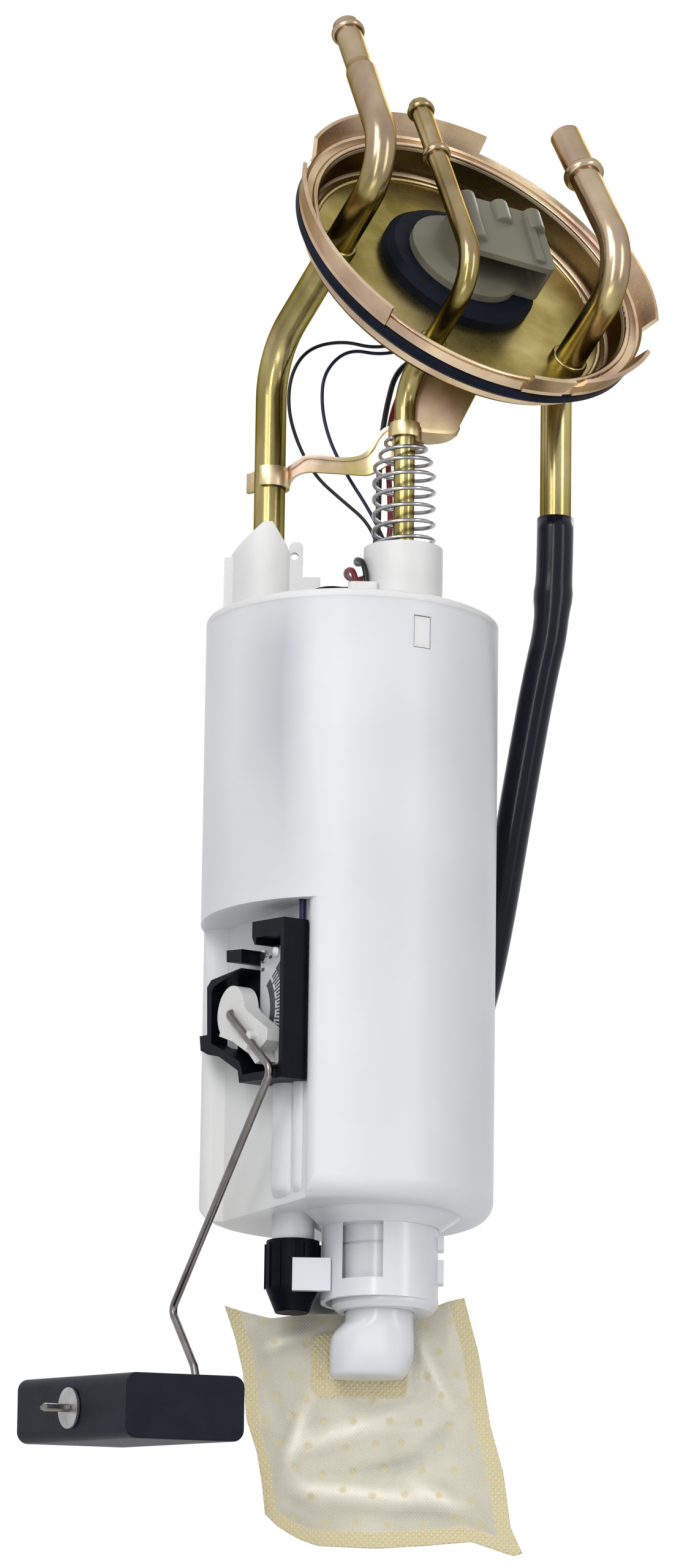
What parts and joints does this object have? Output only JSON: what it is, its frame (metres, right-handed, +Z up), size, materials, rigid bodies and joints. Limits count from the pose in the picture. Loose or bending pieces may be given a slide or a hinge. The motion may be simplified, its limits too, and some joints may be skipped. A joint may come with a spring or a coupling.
{
  "type": "fuel pump module",
  "caption": "In-tank fuel pump module: slanted flange with tubes and connector, sprung reservoir with pump, strainer sock and float-arm level sender.",
  "frame": {"origin": "centre of the gasket's sealing face, where the flange sits on the tank", "axes": "+Z up along the reservoir's axis and its slide; +X to the connector's side; -Y to the side the nipples and the flange face"},
  "size_m": [0.1887, 0.12, 0.4717],
  "materials": {
    "zinc_steel": "yellow zinc plate, satin",
    "spring_steel": "bright spring wire",
    "arm_steel": "bright drawn wire",
    "black_rubber": "matte",
    "connector_grey": "moulded, satin",
    "brass_terminal": "tinned",
    "white_plastic": "translucent acetal",
    "black_plastic": "moulded, satin",
    "hose_black": "smooth",
    "float_nitrile": "closed-cell, matte",
    "sock_felt": "embossed felt",
    "card_ceramic": "printed card",
    "track_ink": "printed",
    "wire_black": "insulation",
    "wire_blue": "insulation",
    "wire_red": "insulation",
    "pump_steel": "drawn",
    "pump_alloy": "cast",
    "magnet": "ferrite",
    "armature_steel": "laminated",
    "copper": "machined",
    "bearing_bronze": "sintered",
    "impeller_resin": "phenolic",
    "carbon": "graphite",
    "ball_steel": "polished"
  },
  "bodies": {
    "flange": {"flange_cover": "zinc_steel", "flange_gasket": "black_rubber", "connector_grommet": "black_rubber", "connector_body": "connector_grey", "connector_terminals": "brass_terminal", "feed_tube": "zinc_steel", "vent_tube": "zinc_steel", "return_tube": "zinc_steel", "support_bracket": "zinc_steel", "guide_spring": "spring_steel", "stop_ring": "spring_steel", "feed_hose_clamp": "pump_steel", "sender_wire_black": "wire_black", "sender_wire_blue": "wire_blue", "pump_wire_black": "wire_black", "pump_wire_red": "wire_red", "return_hose": "hose_black", "pressure_hose": "hose_black"},
    "reservoir": {"brush_springs": "spring_steel", "card_retainer": "white_plastic", "card_rivets": "spring_steel", "card_tracks": "track_ink", "check_valve_ball": "ball_steel", "check_valve_spring": "spring_steel", "feed_tube_bush": "white_plastic", "jet_nozzle": "brass_terminal", "level_sender_housing": "black_plastic", "lower_isolator": "black_rubber", "pump_bearings": "bearing_bronze", "pump_brushes": "carbon", "pump_casing": "pump_steel", "pump_holder": "black_plastic", "pump_hose_clamp": "pump_steel", "pump_inlet_cover": "pump_alloy", "pump_leads": "wire_black", "pump_magnets": "magnet", "pump_outlet_cap": "black_plastic", "pump_plug": "black_plastic", "pump_retainer": "white_plastic", "pump_terminals": "brass_terminal", "pump_upper_plate": "pump_alloy", "reservoir_lid": "white_plastic", "reservoir_shell": "white_plastic", "resistor_card": "card_ceramic", "return_elbow": "black_plastic", "sender_lead": "wire_blue", "strainer_elbow": "white_plastic", "strainer_sock": "sock_felt", "upper_isolator": "black_rubber", "vent_tube_bush": "white_plastic"},
    "rotor": {"armature": "armature_steel", "commutator": "copper", "armature_shaft": "pump_steel", "impeller": "impeller_resin"},
    "float_arm": {"wiper_hub": "white_plastic", "wiper_contacts": "spring_steel", "float_arm": "arm_steel", "push_nut": "spring_steel"},
    "float": {"float": "float_nitrile"}
  },
  "joints": [
    {"name": "reservoir_slide", "type": "slide", "parent": "flange", "child": "reservoir", "axis": [0, 0, 1], "range_m": [0, 0.011], "stiffness_N_per_m": 400, "springref_m": -0.03, "deforming": ["guide_spring", "sender_wire_black", "sender_wire_blue", "pump_wire_black", "pump_wire_red", "return_hose", "pressure_hose"]},
    {"name": "rotor_spin", "type": "hinge", "parent": "reservoir", "child": "rotor", "pos_m": [-0.0219, -0.003, -0.2438], "axis": [0, 0, 1], "continuous": true},
    {"name": "arm_swing", "type": "hinge", "parent": "reservoir", "child": "float_arm", "pos_m": [-0.0683, -0.015, -0.2348], "axis": [-0.866, -0.5, 0], "range_deg": [0, 63]},
    {"name": "float_swivel", "type": "hinge", "parent": "float_arm", "child": "float", "pos_m": [-0.0736, -0.00582, -0.3534], "axis": [-0.8648, -0.4993, -0.0523], "continuous": true}
  ]
}
